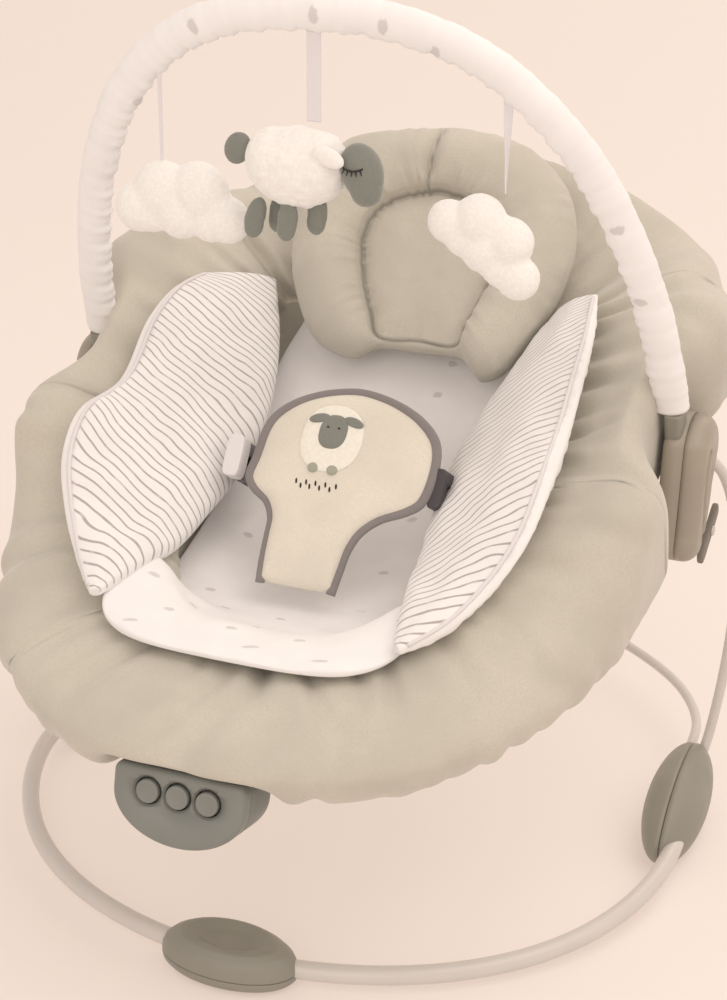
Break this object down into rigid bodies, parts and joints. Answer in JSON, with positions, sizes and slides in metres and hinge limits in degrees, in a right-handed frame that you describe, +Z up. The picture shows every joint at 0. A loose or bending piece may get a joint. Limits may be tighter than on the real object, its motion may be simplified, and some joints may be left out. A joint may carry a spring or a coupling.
{
  "type": "bouncer seat",
  "caption": "Infant bouncer: padded oval seat on a springy wire frame, with a harness pad, a vibration unit and a lift-off toy bar with hanging toys.",
  "frame": {"origin": "middle of the footprint, on the surface the feet stand on", "axes": "+Z up, +Y to the head end, -Y to the foot end, +X to the right as seen from the foot end"},
  "size_m": [0.484, 0.5616, 0.5735],
  "materials": {
    "white_metal": "satin off-white powder coat",
    "sage_plastic": "fine satin grain, grey sage",
    "dark_plastic": "fine matt grain, charcoal",
    "rubber": "matt, moulded",
    "steel": "plated",
    "circuit_board": "solder resist",
    "battery_cell": "plain wrapper",
    "sage_velour": "short velour pile over wadding",
    "pale_velour": "short velour pile with a bound edge",
    "printed_cotton": "quilted knit with small grey motifs",
    "striped_cotton": "knit with thin wavy taupe lines",
    "webbing": "woven tape",
    "white_plush": "looped fleece",
    "grey_plush": "short plush"
  },
  "bodies": {
    "base": {"front_base_tube": "white_metal", "rear_base_wire": "white_metal", "side_foot_right_outer": "sage_plastic", "side_foot_left_outer": "sage_plastic", "side_foot_right_inner": "sage_plastic", "side_foot_left_inner": "sage_plastic", "side_foot_right_pad": "rubber", "side_foot_left_pad": "rubber", "side_foot_right_screw": "steel", "side_foot_left_screw": "steel", "front_foot_top": "sage_plastic", "front_foot_bottom": "sage_plastic", "front_foot_pad": "rubber"},
    "seat": {"vibration_case_front": "sage_plastic", "vibration_case_back": "sage_plastic", "battery": "battery_cell", "vibration_motor": "steel", "circuit_board": "circuit_board", "leg_wire_right": "white_metal", "leg_wire_left": "white_metal", "hub_right_outer": "sage_plastic", "hub_left_outer": "sage_plastic", "hub_right_inner": "sage_plastic", "hub_left_inner": "sage_plastic", "seat_tube_foot": "white_metal", "seat_tube_head": "white_metal", "seat_ring": "sage_velour", "seat_insert": "printed_cotton", "seat_sling": "sage_velour", "side_wing_right": "striped_cotton", "side_wing_left": "striped_cotton", "head_pillow": "sage_velour", "crotch_restraint": "pale_velour", "buckle_right_socket": "dark_plastic", "buckle_left_socket": "dark_plastic", "waist_belt_right": "webbing", "waist_belt_left": "webbing", "fastening_tab_right": "dark_plastic", "fastening_tab_left": "dark_plastic"},
    "toy_bar": {"toy_bar_tube": "white_metal", "toy_bar_sleeve": "printed_cotton", "toy_bar_plug_right": "sage_plastic", "toy_bar_plug_left": "sage_plastic"},
    "cloud_left": {"toy_ribbon_left": "webbing", "toy_cloud_left": "white_plush"},
    "sheep": {"toy_ribbon_centre": "webbing", "toy_sheep_body": "white_plush", "toy_sheep_head": "grey_plush"},
    "cloud_right": {"toy_ribbon_right": "webbing", "toy_cloud_right": "white_plush"},
    "button_left": {"button_left": "sage_plastic"},
    "button_centre": {"button_centre": "sage_plastic"},
    "button_right": {"button_right": "sage_plastic"},
    "motor_weight": {"motor_weight": "steel"},
    "battery_door": {"battery_door": "sage_plastic", "battery_door_screw": "steel"},
    "buckle_tongue_right": {"buckle_right_tongue": "dark_plastic"},
    "buckle_tongue_left": {"buckle_left_tongue": "dark_plastic"}
  },
  "joints": [
    {"name": "bounce", "type": "hinge", "parent": "base", "child": "seat", "pos_m": [0, 0.09622, 0.045], "axis": [1, 0, 0], "range_deg": [-3, 3], "stiffness_Nm_per_rad": 60, "springref_deg": -2.81},
    {"name": "toy_bar_lift", "type": "slide", "parent": "seat", "child": "toy_bar", "axis": [0, -0.342, 0.9397], "range_m": [0, 0.045]},
    {"name": "cloud_left_swing", "type": "hinge", "parent": "toy_bar", "child": "cloud_left", "pos_m": [-0.11, -0.05228, 0.5298], "axis": [1, 0, 0], "range_deg": [-35, 35]},
    {"name": "sheep_swing", "type": "hinge", "parent": "toy_bar", "child": "sheep", "pos_m": [-0.004, -0.06368, 0.5613], "axis": [1, 0, 0], "range_deg": [-35, 35]},
    {"name": "cloud_right_swing", "type": "hinge", "parent": "toy_bar", "child": "cloud_right", "pos_m": [0.11, -0.05228, 0.5298], "axis": [1, 0, 0], "range_deg": [-35, 35]},
    {"name": "button_left_press", "type": "slide", "parent": "seat", "child": "button_left", "axis": [0, 0.9703, -0.2419], "range_m": [0, 0.0012], "stiffness_N_per_m": 800},
    {"name": "button_centre_press", "type": "slide", "parent": "seat", "child": "button_centre", "axis": [0, 0.9703, -0.2419], "range_m": [0, 0.0012], "stiffness_N_per_m": 800},
    {"name": "button_right_press", "type": "slide", "parent": "seat", "child": "button_right", "axis": [0, 0.9703, -0.2419], "range_m": [0, 0.0012], "stiffness_N_per_m": 800},
    {"name": "motor_spin", "type": "hinge", "parent": "seat", "child": "motor_weight", "pos_m": [0.027, -0.25107, 0.15734], "axis": [0, 0.2419, 0.9703], "continuous": true},
    {"name": "battery_door_off", "type": "slide", "parent": "seat", "child": "battery_door", "axis": [0, 0.9703, -0.2419], "range_m": [0, 0.014]},
    {"name": "buckle_right_release", "type": "slide", "parent": "seat", "child": "buckle_tongue_right", "axis": [0.06, 0.8298, -0.5549], "range_m": [0, 0.015]},
    {"name": "buckle_left_release", "type": "slide", "parent": "seat", "child": "buckle_tongue_left", "axis": [-0.06, 0.8298, -0.5549], "range_m": [0, 0.015]}
  ]
}
